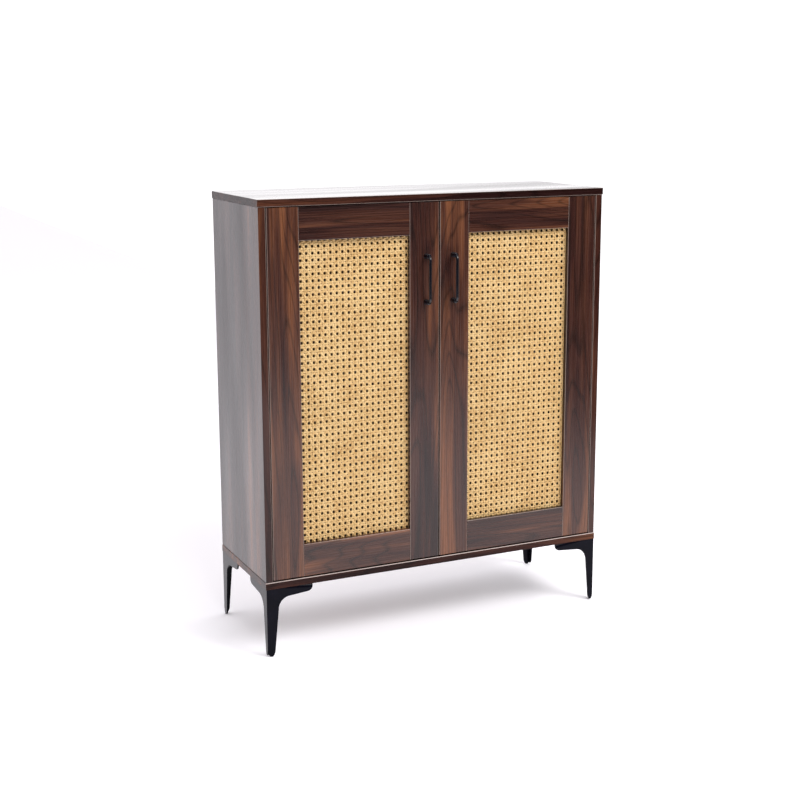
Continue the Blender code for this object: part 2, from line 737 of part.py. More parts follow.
def make_catch():
    """The double magnetic catch, screwed under the top panel behind both strike plates."""
    front = DOOR_BACK + CONTACT_GAP + STRIKE_THICKNESS + CATCH_AIR_GAP
    top = CEILING - CONTACT_GAP
    low = (-CATCH_WIDTH / 2, front, top - CATCH_HEIGHT)
    high = (CATCH_WIDTH / 2, front + CATCH_DEPTH, top)
    finish(make_box("door_catch", low, high, arris=0.001), "catch_plastic")


# --- Legs ------------------------------------------------------------------------------------
def flange_outline(flange):
    """One flange of the leg, seen square on: distance from the corner, and height."""
    end = LEG_ARM_LENGTH
    radius = LEG_ARM_END_RADIUS
    top = -CONTACT_GAP
    foot = -LEG_HEIGHT
    lobe_z = foot + LEG_TIP_HEIGHT
    half_tip = flange["tip"] / 2
    flat = math.radians(LEG_TIP_FLAT_ANGLE)
    drop = LEG_TIP_HEIGHT / math.cos(flat)
    outline = [(0, top), (end, top)]
    outline += arc_points((end - radius, radius - LEG_ARM_END_DEPTH), (radius, radius), 0, -90, 4)
    fillet_centre = (flange["fillet_run"], -flange["fillet_drop"])
    fillet_radii = (
        flange["fillet_run"] - flange["post"],
        flange["fillet_drop"] - LEG_ARM_ROOT_DEPTH,
    )
    outline += arc_points(fillet_centre, fillet_radii, 90, 180, 7)
    right_start, right_end = 0, -90 + LEG_TIP_FLAT_ANGLE
    outline += arc_points((half_tip, lobe_z), (half_tip, drop), right_start, right_end, 4)
    outline += arc_points((half_tip, lobe_z), (half_tip, drop), -90 - LEG_TIP_FLAT_ANGLE, -180, 4)
    return outline


def make_leg_pattern():
    """The leg's mesh, with its outer corner on its own Z axis and its wide flange along +X."""
    wide = make_prism("leg_wide_flange", flange_outline(WIDE_FLANGE), "Y", 0, LEG_WALL)
    narrow = make_prism("leg_narrow_flange_tool", flange_outline(NARROW_FLANGE), "X", 0, LEG_WALL)
    width = LEG_PLATE_WIDTH
    corner = width + LEG_PLATE_GUSSET
    length = LEG_ARM_LENGTH - LEG_ARM_END_RADIUS / 2
    plate_outline = [
        (LEG_WALL / 2, LEG_WALL / 2),
        (length, LEG_WALL / 2),
        (length, width),
        (corner, width),
        (width, corner),
        (width, length),
        (LEG_WALL / 2, length),
    ]
    top = -CONTACT_GAP
    plate = make_prism("leg_plate_tool", plate_outline, "Z", top - LEG_PLATE, top)
    combine(wide, narrow, "UNION")
    combine(wide, plate, "UNION")
    bm = bmesh.new()
    middle = (LEG_WALL + LEG_PLATE_WIDTH) / 2
    for reach in (LEG_SCREW_NEAR, LEG_SCREW_FAR):
        for x, y in ((reach, middle), (middle, reach)):
            add_cylinder(bm, (x, y, top), "Z", LEG_SCREW_HOLE_RADIUS, 4 * LEG_PLATE, SMALL_ROUND)
    combine(wide, object_from_bmesh("leg_screw_hole_cutter", bm, (0, 0, 0)))
    return wide


LEG_CORNERS = {
    "front_left": (-HALF_WIDTH, FRONT, 0),
    "front_right": (HALF_WIDTH, FRONT, 90),
    "back_right": (HALF_WIDTH, BACK, 180),
    "back_left": (-HALF_WIDTH, BACK, 270),
}


def make_legs():
    """Bakes the pattern once and sets a copy at each corner, turned to fit it."""
    pattern = make_leg_pattern()
    bpy.context.view_layer.update()
    graph = bpy.context.evaluated_depsgraph_get()
    mesh = bpy.data.meshes.new_from_object(pattern.evaluated_get(graph))
    use_as_tool(pattern)
    for corner, (x, y, turn) in LEG_CORNERS.items():
        leg = bpy.data.objects.new("leg_" + corner, mesh.copy())
        bpy.context.scene.collection.objects.link(leg)
        leg.location = (x, y, LEG_HEIGHT)
        leg.rotation_euler = (0, 0, math.radians(turn))
        finish(leg, "black_metal")


def main():
    clear_scene()
    make_carcass()
    make_shelves()
    for side, mirror in SIDES.items():
        make_door(Door(side, mirror))
    make_catch()
    make_legs()


main()
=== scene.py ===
"""Shoe cabinet in walnut-effect board with woven cane doors: finishes, woven panels, legs,
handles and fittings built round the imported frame, with a studio and a camera.

Metres, +Z up. The doors face -Y and the floor is Z = 0.
"""

from __future__ import annotations

import contextlib
import logging
import math
from collections.abc import Iterator, Sequence
from dataclasses import dataclass
from enum import Enum

import bpy
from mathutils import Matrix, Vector


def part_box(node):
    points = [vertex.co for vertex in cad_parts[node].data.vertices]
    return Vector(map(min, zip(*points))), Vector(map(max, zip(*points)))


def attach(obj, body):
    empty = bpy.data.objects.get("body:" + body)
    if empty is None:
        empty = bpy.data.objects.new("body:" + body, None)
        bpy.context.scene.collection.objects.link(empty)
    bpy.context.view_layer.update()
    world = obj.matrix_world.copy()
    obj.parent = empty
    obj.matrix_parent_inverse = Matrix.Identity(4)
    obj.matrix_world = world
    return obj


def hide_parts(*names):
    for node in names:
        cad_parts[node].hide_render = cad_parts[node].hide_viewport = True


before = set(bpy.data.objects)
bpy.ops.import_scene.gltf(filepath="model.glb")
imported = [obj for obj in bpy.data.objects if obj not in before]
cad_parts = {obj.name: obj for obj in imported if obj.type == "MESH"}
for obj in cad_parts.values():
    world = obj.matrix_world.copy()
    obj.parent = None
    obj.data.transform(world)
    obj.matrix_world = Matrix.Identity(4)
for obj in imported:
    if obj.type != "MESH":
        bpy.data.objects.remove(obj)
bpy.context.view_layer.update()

log = logging.getLogger("cabinet")

Point = tuple[float, float, float]
Colour = tuple[float, float, float]
FlatPoint = tuple[float, float]
Outline = Sequence[FlatPoint]
BoardBox = tuple[Vector, Vector]
EdgeLine = tuple["Axis", float, "Axis", float]


# --- Names for choices -----------------------------------------------------------------------
class Axis(Enum):
    """A direction in the cabinet's frame, by its index."""

    X = 0
    Y = 1
    Z = 2


class Side(Enum):
    """The cabinet's left or right half, with the sign of its X."""

    LEFT = -1
    RIGHT = 1

    @property
    def word(self) -> str:
        """The side's name as the nodes spell it."""
        return self.name.lower()


class Corner(Enum):
    """A leg's corner: the sign of X, the sign of Y, and its quarter turns from the front left."""

    FRONT_LEFT = (-1, -1, 0)
    FRONT_RIGHT = (1, -1, 1)
    BACK_RIGHT = (1, 1, 2)
    BACK_LEFT = (-1, 1, 3)

    @property
    def node(self) -> str:
        """The name of the leg's node."""
        return "leg_" + self.name.lower()

    @property
    def turn(self) -> float:
        """The leg's turn about Z, in radians."""
        return self.value[2] * math.pi / 2


# --- Working in the modeller -----------------------------------------------------------------
def activate(piece: bpy.types.Object) -> None:
    """Makes one object the only selected and the active one.

    Args:
        piece: The object to work on.
    """
    deselect_all()
    piece.select_set(True)
    bpy.context.view_layer.objects.active = piece


def deselect_all() -> None:
    """Leaves nothing selected."""
    for other in bpy.context.selected_objects:
        other.select_set(False)


@contextlib.contextmanager
def editing(piece: bpy.types.Object) -> Iterator[None]:
    """Edit mode on one object, with everything in it selected.

    Args:
        piece: The object to edit.
    """
    activate(piece)
    bpy.ops.object.mode_set(mode="EDIT")
    bpy.ops.mesh.select_all(action="SELECT")
    yield
    bpy.ops.object.mode_set(mode="OBJECT")


def apply_modifier(piece: bpy.types.Object, kind: str, **settings: object) -> None:
    """Adds a modifier and applies it at once.

    Args:
        piece: The object that takes it.
        kind: The modifier's type.
        settings: Its settings by name.
    """
    activate(piece)
    modifier = piece.modifiers.new(kind.lower(), kind)
    for key, value in settings.items():
        setattr(modifier, key, value)
    bpy.ops.object.modifier_apply(modifier=modifier.name)


def apply_place(piece: bpy.types.Object) -> None:
    """Puts the object's place and turn into its mesh.

    Args:
        piece: The object to settle.
    """
    activate(piece)
    bpy.ops.object.transform_apply(location=True, rotation=True, scale=True)


def place(piece: bpy.types.Object, at: Sequence[float], turn: Sequence[float] = (0, 0, 0)) -> None:
    """Turns a piece about its origin, moves it and settles it.

    Args:
        piece: The object to place.
        at: Where its origin goes.
        turn: The turns about X, Y and Z, in radians.
    """
    piece.rotation_euler = turn
    piece.location = at
    apply_place(piece)


def copy_of(piece: bpy.types.Object, name: str) -> bpy.types.Object:
    """Copies a piece with its own mesh.

    Args:
        piece: The pattern.
        name: The copy's name.

    Returns:
        The copy, in the same place.
    """
    twin = piece.copy()
    twin.data = piece.data.copy()
    twin.name = name
    bpy.context.scene.collection.objects.link(twin)
    return twin


def join(pieces: Sequence[bpy.types.Object], name: str) -> bpy.types.Object:
    """Joins pieces into the first of them.

    Args:
        pieces: The objects to join.
        name: The joined object's name.

    Returns:
        The joined object.
    """
    activate(pieces[0])
    for piece in pieces:
        piece.select_set(True)
    if len(pieces) > 1:
        bpy.ops.object.join()
    pieces[0].name = name
    return pieces[0]


def remove(piece: bpy.types.Object) -> None:
    """Deletes a pattern or a cutter once it has been used."""
    bpy.data.objects.remove(piece, do_unlink=True)


def combine(piece: bpy.types.Object, tool: bpy.types.Object, operation: str) -> None:
    """Applies an exact Boolean and deletes the tool.

    Args:
        piece: The object that changes.
        tool: The object that is joined on or cut away.
        operation: UNION or DIFFERENCE.
    """
    apply_modifier(piece, "BOOLEAN", object=tool, operation=operation, solver="EXACT")
    remove(tool)


def soften(piece: bpy.types.Object, width: float, segments: int = 2, angle: float = 35.0) -> None:
    """Bevels the sharp edges and shades the piece smooth between them.

    Args:
        piece: The object to soften.
        width: The bevel's width.
        segments: The bevel's segments.
        angle: The smallest angle, in degrees, that counts as an edge.
    """
    limit = math.radians(angle)
    apply_modifier(
        piece, "BEVEL", width=width, segments=segments, limit_method="ANGLE", angle_limit=limit
    )
    activate(piece)
    bpy.ops.object.shade_smooth_by_angle(angle=limit)


def solid_from_outline(name: str, outline: Outline, depth: float) -> bpy.types.Object:
    """Fills a closed outline in the XZ plane and extrudes it along +Y.

    Args:
        name: The object's name.
        outline: The (x, z) points in order.
        depth: How far it is extruded.

    Returns:
        The closed solid.
    """
    deselect_all()
    bpy.ops.mesh.primitive_circle_add(vertices=len(outline), radius=1.0, fill_type="NOTHING")
    piece = bpy.context.object
    piece.name = name
    for vertex, (x, z) in zip(piece.data.vertices, outline):
        vertex.co = (x, 0.0, z)
    with editing(piece):
        bpy.ops.mesh.edge_face_add()
        bpy.ops.mesh.extrude_region_move(TRANSFORM_OT_translate={"value": (0.0, depth, 0.0)})
        bpy.ops.mesh.select_all(action="SELECT")
        bpy.ops.mesh.normals_make_consistent(inside=False)
    return piece


def arc(centre: FlatPoint, radii: FlatPoint, start: float, end: float, steps: int) -> list[FlatPoint]:
    """Points on an ellipse's arc, both ends included.

    Args:
        centre: The ellipse's centre.
        radii: Its two half-axes.
        start: The first angle in degrees.
        end: The last angle in degrees.
        steps: The number of chords.

    Returns:
        The points.
    """
    points = []
    for step in range(steps + 1):
        angle = math.radians(start + (end - start) * step / steps)
        points.append((centre[0] + radii[0] * math.cos(angle), centre[1] + radii[1] * math.sin(angle)))
    return points


def finish_piece(piece: bpy.types.Object, material: bpy.types.Material, body: str) -> None:
    """Gives a new piece its material and its body, and reports it.

    Args:
        piece: The finished piece.
        material: Its material.
        body: The body that it moves with.
    """
    piece.data.materials.clear()
    piece.data.materials.append(material)
    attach(piece, body)
    log.info("%s: %d faces on %s", piece.name, len(piece.data.polygons), body)


# --- Materials -------------------------------------------------------------------------------
class Shader:
    """A material's node tree, with short ways to add to it."""

    def __init__(self, name: str) -> None:
        """Starts a material.

        Args:
            name: The material's name.
        """
        self.material = bpy.data.materials.new(name)
        self.material.use_nodes = True
        self.tree = self.material.node_tree
        self.surface = self.tree.nodes["Principled BSDF"]

    def feed(self, socket: bpy.types.NodeSocket, value: object) -> None:
        """Links a socket to another, or sets its value.

        Args:
            socket: The input.
            value: An output to link, or a plain value.
        """
        if isinstance(value, bpy.types.NodeSocket):
            self.tree.links.new(value, socket)
        else:
            socket.default_value = value

    def add(self, kind: str, inputs: dict[str | int, object], **settings: object) -> bpy.types.Node:
        """Adds a node.

        Args:
            kind: The node's type after ShaderNode.
            inputs: Its inputs by name or index.
            settings: Its settings by name.

        Returns:
            The node.
        """
        node = self.tree.nodes.new("ShaderNode" + kind)
        for key, value in settings.items():
            setattr(node, key, value)
        for key, value in inputs.items():
            self.feed(node.inputs[key], value)
        return node

    def math(self, operation: str, first: object, second: object = 0.0) -> bpy.types.NodeSocket:
        """The result of a Math node on two values."""
        return self.add("Math", {0: first, 1: second}, operation=operation).outputs[0]

    def coordinates(self, scale: Sequence[float], shift: Sequence[float] = (0, 0, 0)) -> bpy.types.NodeSocket:
        """The piece's own coordinates, stretched and shifted.

        Args:
            scale: The factor on each axis.
            shift: What is added afterwards.

        Returns:
            The vector socket.
        """
        own = self.add("TexCoord", {}).outputs["Object"]
        return self.add("Mapping", {"Vector": own, "Scale": scale, "Location": shift}).outputs[0]

    def noise(
        self, at: object, scale: float, detail: float = 2.0, distortion: float = 0.0
    ) -> bpy.types.NodeSocket:
        """A Noise texture's value.

        Args:
            at: The vector it reads.
            scale: Its scale.
            detail: Its octaves.
            distortion: Its distortion.

        Returns:
            The value socket.
        """
        inputs = {"Vector": at, "Scale": scale, "Detail": detail, "Distortion": distortion}
        return self.add("TexNoise", inputs).outputs[0]

    def ramp(self, value: object, stops: Sequence[tuple[float, Colour]]) -> bpy.types.NodeSocket:
        """A colour ramp.

        Args:
            value: The factor.
            stops: Positions and colours in order.

        Returns:
            The colour socket.
        """
        node = self.add("ValToRGB", {0: value})
        elements = node.color_ramp.elements
        while len(elements) < len(stops):
            elements.new(1.0)
        for element, (position, colour) in zip(elements, stops):
            element.position = position
            element.color = (*colour, 1.0)
        return node.outputs[0]

    def grade(self, value: object, low: float, high: float, start: float, end: float) -> bpy.types.NodeSocket:
        """Maps low..high onto start..end, clamped.

        Args:
            value: The value to map.
            low: Its low end.
            high: Its high end.
            start: The result at the low end.
            end: The result at the high end.

        Returns:
            The mapped value's socket.
        """
        inputs = {0: value, 1: low, 2: high, 3: start, 4: end}
        return self.add("MapRange", inputs).outputs[0]

    def mix(self, factor: object, first: object, second: object, blend: str = "MIX") -> bpy.types.NodeSocket:
        """Mixes two colours.

        Args:
            factor: The share of the second.
            first: The first colour.
            second: The second colour.
            blend: The blend mode.

        Returns:
            The colour socket.
        """
        inputs = {0: factor, 1: first, 2: second}
        return self.add("MixRGB", inputs, blend_type=blend).outputs[0]

    def bump(self, height: object, strength: float, distance: float) -> None:
        """Drives the surface's normal from a height.

        Args:
            height: The height's socket.
            strength: The bump's strength.
            distance: The bump's depth in metres.
        """
        inputs = {"Strength": strength, "Distance": distance, "Height": height}
        self.feed(self.surface.inputs["Normal"], self.add("Bump", inputs).outputs[0])

    def surface_set(self, **values: object) -> bpy.types.Material:
        """Sets the surface's sockets, with underscores for the spaces in their names.

        Args:
            values: The values or sockets by name.

        Returns:
            The material.
        """
        for key, value in values.items():
            self.feed(self.surface.inputs[key.replace("_", " ")], value)
        return self.material


@dataclass(frozen=True)
class Walnut:
    """Walnut-effect laminate: dark wavy streaks, arched figure, fine fibres and short pores."""

    deep: Colour = (0.0140, 0.0043, 0.0036)
    dark: Colour = (0.0330, 0.0103, 0.0072)
    middle: Colour = (0.0560, 0.0192, 0.0112)
    # Pale edge line: partly the edge band's own colour, partly a painted highlight where the front arris
    # catches light.
    light: Colour = (0.1550, 0.0560, 0.0240)
    line: Colour = (0.300, 0.235, 0.205)
    roughness: float = 0.27
    line_width: float = 0.0008
    coat: float = 0.0
    coat_above: float = -1.0
    gloss: float = 0.5
    edge_gloss: float = 0.5
    edge_depth: float = 0.0006
    streak_share: float = 0.46
    drift_share: float = 0.54
    tone_stops: tuple[float, float, float, float] = (0.37, 0.44, 0.52, 0.63)
    knot_depth: float = 0.10
    line_strength: float = 0.8

    def material(
        self,
        name: str,
        box: BoardBox,
        grain: Axis,
        seed: float,
        lines: Sequence[EdgeLine] = (),
        warmth: float = 0.5,
        knots: Sequence[Point] = (),
    ) -> bpy.types.Material:
        """One board's own laminate.

        Args:
            name: The material's name.
            box: The board's lowest and highest corners.
            grain: The direction of the grain.
            seed: Moves the figure, so that no two boards match.
            lines: Corners that show a pale line, the edge band's tone plus a painted arris highlight, each as
                two planes that meet there.
            warmth: How far the tones lean to the light streaks: 0.5 is even, less is darker.
            knots: Dark knots, each as X, Z and radius.

        Returns:
            The material.
        """
        shader = Shader(name)
        middle = (box[0] + box[1]) / 2
        shift = [-middle[axis] + seed * (1.7 + 0.9 * axis) for axis in range(3)]

        def along(stretch: float) -> bpy.types.NodeSocket:
            """The board's coordinates, stretched along its grain and shifted by its seed.

            Args:
                stretch: The factor along the grain.

            Returns:
                The vector socket.
            """
            scale = [1.0, 1.0, 1.0]
            scale[grain.value] = stretch
            moved = [offset * factor for offset, factor in zip(shift, scale)]
            return shader.coordinates(scale, moved)

        streaks = shader.noise(along(0.045), 46.0, 3.0, 0.8)
        drift = shader.noise(along(0.12), 12.0, 1.0, 0.4)
        streaked = shader.math("MULTIPLY", streaks, self.streak_share)
        tone = shader.math("ADD", streaked, shader.math("MULTIPLY", drift, self.drift_share))
        for x, z, radius in knots:
            near = self.knot_mask(shader, x, z, radius)
            tone = shader.math("SUBTRACT", tone, shader.math("MULTIPLY", near, self.knot_depth))
        bias = 0.08 * (0.5 - warmth)
        tones = (self.deep, self.dark, self.middle, self.light)
        stops = [(stop + bias, shade) for stop, shade in zip(self.tone_stops, tones)]
        colour = shader.ramp(tone, stops)
        figure = shader.noise(along(0.11), 9.0, 1.5, 0.35)
        rings = shader.math("PINGPONG", shader.math("MULTIPLY", figure, 21.0), 0.5)
        arches = shader.grade(rings, 0.0, 0.16, 0.52, 1.06)
        fibres = shader.noise(along(0.012), 620.0, 3.0)
        strands = shader.grade(fibres, 0.3, 0.7, 0.78, 1.18)
        pores = shader.grade(shader.noise(along(0.05), 1500.0, 1.0), 0.62, 0.70, 1.0, 0.62)
        shade = shader.math("MULTIPLY", shader.math("MULTIPLY", arches, strands), pores)
        grey = shader.add("CombineColor", {0: shade, 1: shade, 2: shade}).outputs[0]
        colour = shader.mix(1.0, colour, grey, "MULTIPLY")
        # Pale edge line painted into the colour: the edge band's tone plus a painted highlight on the arris.
        if lines:
            colour = shader.mix(self.edge_band_highlight_mask(shader, lines), colour, (*self.line, 1.0))
        shader.bump(shader.math("ADD", fibres, shader.math("MULTIPLY", pores, 0.5)), 0.12, 0.0002)
        rough = shader.grade(fibres, 0.3, 0.7, self.roughness - 0.05, self.roughness + 0.05)
        own = shader.add("SeparateXYZ", {0: shader.coordinates((1, 1, 1))}).outputs
        above = shader.math("GREATER_THAN", own["Z"], self.coat_above)
        worn = shader.grade(drift, 0.3, 0.7, 0.5 * self.coat, 1.5 * self.coat)
        coat = shader.math("MULTIPLY", above, worn) if self.coat else 0.0
        shader.surface_set(Coat_Weight=coat, Coat_Roughness=0.14)
        edge = box[0].y + self.edge_depth
        gloss = shader.grade(own["Y"], edge, edge + 0.0001, self.edge_gloss, self.gloss)
        shader.surface_set(Specular_IOR_Level=gloss)
        return shader.surface_set(Base_Color=colour, Roughness=rough)

    def knot_mask(self, shader: Shader, x: float, z: float, radius: float) -> bpy.types.NodeSocket:
        """A soft blot, drawn out along Z, that fades from 1 at a knot's middle to 0.

        Args:
            shader: The material in the making.
            x: The knot's X.
            z: The knot's Z.
            radius: Its radius across the grain.

        Returns:
            The mask.
        """
        scale = (1 / radius, 0.0, 0.45 / radius)
        moved = shader.coordinates(scale, (-x / radius, 0.0, -0.45 * z / radius))
        away = shader.add("VectorMath", {0: moved}, operation="LENGTH").outputs["Value"]
        return shader.grade(away, 0.1, 1.6, 1.0, 0.0)

    def edge_band_highlight_mask(self, shader: Shader, lines: Sequence[EdgeLine]) -> bpy.types.NodeSocket:
        """Where the pale edge line shows: the edge band's own tone plus a painted highlight where the arris
        catches light.

        Args:
            shader: The material in the making.
            lines: Corners, each as two planes that meet there.

        Returns:
            The mask, 1 on the line.
        """
        own = shader.add("TexCoord", {}).outputs["Object"]
        split = shader.add("SeparateXYZ", {0: own}).outputs
        mask: object = 0.0
        for first, first_at, second, second_at in lines:
            one = shader.math("ABSOLUTE", shader.math("SUBTRACT", split[first.value], first_at))
            two = shader.math("ABSOLUTE", shader.math("SUBTRACT", split[second.value], second_at))
            near = shader.math("LESS_THAN", shader.math("MAXIMUM", one, two), self.line_width)
            mask = shader.math("MAXIMUM", mask, near)
        return shader.math("MULTIPLY", mask, self.line_strength)


@dataclass(frozen=True)
class Cane:
    """Natural rattan skin: golden, a little glossy, with a fine lengthwise grain."""

    pale: Colour = (0.780, 0.540, 0.250)
    gold: Colour = (0.660, 0.412, 0.160)
    brown: Colour = (0.470, 0.260, 0.085)

    def material(self, name: str) -> bpy.types.Material:
        """The cane's material.

        Args:
            name: The material's name.

        Returns:
            The material.
        """
        shader = Shader(name)
        plain = shader.coordinates((1, 1, 1))
        patches = shader.noise(plain, 22.0, 3.0)
        strands = shader.noise(plain, 260.0, 2.0)
        tone = shader.math("ADD", shader.math("MULTIPLY", patches, 0.3), shader.math("MULTIPLY", strands, 0.7))
        colour = shader.ramp(tone, [(0.30, self.brown), (0.44, self.gold), (0.60, self.pale)])
        fibres = shader.noise(plain, 2400.0, 2.0)
        shader.bump(fibres, 0.2, 0.0001)
        rough = shader.grade(strands, 0.3, 0.7, 0.42, 0.60)
        return shader.surface_set(Base_Color=colour, Roughness=rough)


@dataclass(frozen=True)
class PowderCoat:
    """Satin black powder coat with a faint orange peel."""

    colour: Colour = (0.0020, 0.0020, 0.0046)
    roughness: float = 0.22
    gloss: tuple[float, float] = (0.08, 0.45)

    def material(self, name: str) -> bpy.types.Material:
        """The coat's material.

        Args:
            name: The material's name.

        Returns:
            The material.
        """
        shader = Shader(name)
        plain = shader.coordinates((1, 1, 1))
        peel = shader.noise(plain, 1400.0, 2.0)
        cloud = shader.noise(plain, 30.0, 2.0)
        brighter = tuple(channel * 1.7 for channel in self.colour)
        colour = shader.ramp(cloud, [(0.35, self.colour), (0.65, brighter)])
        shader.bump(peel, 0.12, 0.0001)
        rough = shader.grade(peel, 0.3, 0.7, self.roughness - 0.04, self.roughness + 0.06)
        facing = shader.add("LayerWeight", {0: 0.5}).outputs["Facing"]
        gloss = shader.grade(facing, 0.3, 0.75, *self.gloss)
        return shader.surface_set(Base_Color=colour, Roughness=rough, Specular_IOR_Level=gloss)


@dataclass(frozen=True)
class Steel:
    """Nickel-plated steel, brushed along one axis."""

    colour: Colour = (0.58, 0.57, 0.55)
    roughness: float = 0.27

    def material(self, name: str, brushed: Axis = Axis.Z) -> bpy.types.Material:
        """The steel's material.

        Args:
            name: The material's name.
            brushed: The direction of the brushing.

        Returns:
            The material.
        """
        shader = Shader(name)
        scale = [1.0, 1.0, 1.0]
        scale[brushed.value] = 0.04
        scratches = shader.noise(shader.coordinates(scale), 1800.0, 3.0)
        darker = tuple(channel * 0.78 for channel in self.colour)
        colour = shader.ramp(scratches, [(0.35, darker), (0.65, self.colour)])
        rough = shader.grade(scratches, 0.3, 0.7, self.roughness - 0.06, self.roughness + 0.1)
        shader.bump(scratches, 0.08, 0.0001)
        return shader.surface_set(Base_Color=colour, Roughness=rough, Metallic=1.0)


@dataclass(frozen=True)
class Hardboard:
    """Thin pressed-fibre board with a speckled matt face."""

    dark: Colour = (0.085, 0.050, 0.032)
    light: Colour = (0.190, 0.118, 0.075)

    def material(self, name: str) -> bpy.types.Material:
        """The board's material.

        Args:
            name: The material's name.

        Returns:
            The material.
        """
        shader = Shader(name)
        plain = shader.coordinates((1, 1, 1))
        fibres = shader.noise(plain, 480.0, 5.0, 1.2)
        clouds = shader.noise(plain, 5.0, 3.0)
        tone = shader.math("ADD", shader.math("MULTIPLY", fibres, 0.85), shader.math("MULTIPLY", clouds, 0.15))
        colour = shader.ramp(tone, [(0.38, self.dark), (0.62, self.light)])
        shader.bump(fibres, 0.25, 0.0002)
        return shader.surface_set(Base_Color=colour, Roughness=shader.grade(fibres, 0.3, 0.7, 0.62, 0.8))


@dataclass(frozen=True)
class Plastic:
    """Moulded off-white plastic with a light spark-eroded texture."""

    colour: Colour = (0.66, 0.64, 0.58)

    def material(self, name: str) -> bpy.types.Material:
        """The plastic's material.

        Args:
            name: The material's name.

        Returns:
            The material.
        """
        shader = Shader(name)
        plain = shader.coordinates((1, 1, 1))
        grain = shader.noise(plain, 1600.0, 2.0)
        cloud = shader.noise(plain, 40.0, 2.0)
        duller = tuple(channel * 0.9 for channel in self.colour)
        colour = shader.ramp(cloud, [(0.3, duller), (0.7, self.colour)])
        shader.bump(grain, 0.15, 0.0001)
        return shader.surface_set(Base_Color=colour, Roughness=shader.grade(grain, 0.3, 0.7, 0.4, 0.52))


def dress(node: str, material: bpy.types.Material) -> None:
    """Puts a material on a node of the frame.

    Args:
        node: The node's name.
        material: Its material.
    """
    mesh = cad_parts[node].data
    mesh.materials.clear()
    mesh.materials.append(material)
    log.info("%s dressed in %s", node, material.name)


# --- Boards ----------------------------------------------------------------------------------
def front_lines(box: BoardBox, edges: str) -> list[EdgeLine]:
    """The corners round a board's front face.

    Args:
        box: The board's lowest and highest corners.
        edges: Any of the letters l, r, t and b: left, right, top and bottom.

    Returns:
        The corners, each as two planes that meet there.
    """
    low, high = box
    planes = {
        "l": (Axis.X, low.x),
        "r": (Axis.X, high.x),
        "t": (Axis.Z, high.z),
        "b": (Axis.Z, low.z),
    }
    return [(*planes[edge], Axis.Y, low.y) for edge in edges]


@dataclass(frozen=True)
class Board:
    """One board's grain, figure and pale edge lines, which are the edge band's tone plus a painted arris
    highlight.
    """

    node: str
    grain: Axis
    seed: float
    edges: str = ""
    warmth: float = 0.5
    coat: float = 0.0
    knots: tuple[Point, ...] = ()
    line_width: float = 0.0008
    coat_above: float = -1.0
    line: Colour = Walnut.line
    gloss: float = 0.5
    edge_gloss: float = 0.5

    def build(self) -> None:
        """Dresses the board's node."""
        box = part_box(self.node)
        lines = front_lines(box, self.edges)
        laminate = Walnut(
            line=self.line,
            line_width=self.line_width,
            coat=self.coat,
            coat_above=self.coat_above,
            gloss=self.gloss,
            edge_gloss=self.edge_gloss,
        )
        name = self.node + "_walnut"
        dress(self.node, laminate.material(name, box, self.grain, self.seed, lines, self.warmth, self.knots))


@dataclass(frozen=True)
class Carcass:
    """The boards of the body, the shelves and the back."""

    boards: tuple[Board, ...] = (
        Board(
            "top_panel", Axis.X, 1.3, "tb", warmth=-1.5,
            coat=0.7, coat_above=0.9496, gloss=0.25, edge_gloss=0.2,
        ),
        # Brighter, wider pale line on the top front edge: the edge band's tone plus a painted highlight on the
        # arris.
        Board(
            "bottom_panel", Axis.X, 2.9, "t",
            line_width=0.0013, line=(0.62, 0.52, 0.48), gloss=0.4, edge_gloss=0.12,
        ),
        Board("left_side_panel", Axis.Z, 4.1, "r", warmth=-0.4, coat=0.36, edge_gloss=0.12),
        Board("right_side_panel", Axis.Z, 5.7, "l", warmth=-0.4, coat=0.36, edge_gloss=0.12),
        Board("fixed_shelf", Axis.X, 6.2, "tb"),
        Board("lower_shelf", Axis.X, 7.7, "tb"),
        Board("upper_shelf", Axis.X, 8.4, "tb"),
    )

    def build(self) -> None:
        """Dresses every board of the body."""
        for board in self.boards:
            board.build()
        dress("back_panel", Hardboard().material("back_hardboard"))


@dataclass(frozen=True)
class DoorFrame:
    """The four members of one door's frame and the strip frame behind its cane."""

    side: Side
    outer_warmth: float
    inner_warmth: float
    rail_warmth: tuple[float, float]
    seed: float
    knots: tuple[Point, ...]

    def build(self) -> None:
        """Dresses the door's members."""
        word = self.side.word
        members = (
            Board(word + "_door_outer_stile", Axis.Z, self.seed, "lr", self.outer_warmth),
            Board(
                word + "_door_inner_stile", Axis.Z, self.seed + 1.4, "lr", self.inner_warmth, knots=self.knots
            ),
            Board(word + "_door_top_rail", Axis.X, self.seed + 2.6, "b", self.rail_warmth[0]),
            Board(word + "_door_bottom_rail", Axis.X, self.seed + 3.9, "t", self.rail_warmth[1]),
        )
        for member in members:
            member.build()
        dress(word + "_cane_retaining_frame", Hardboard().material(word + "_strip_hardboard"))


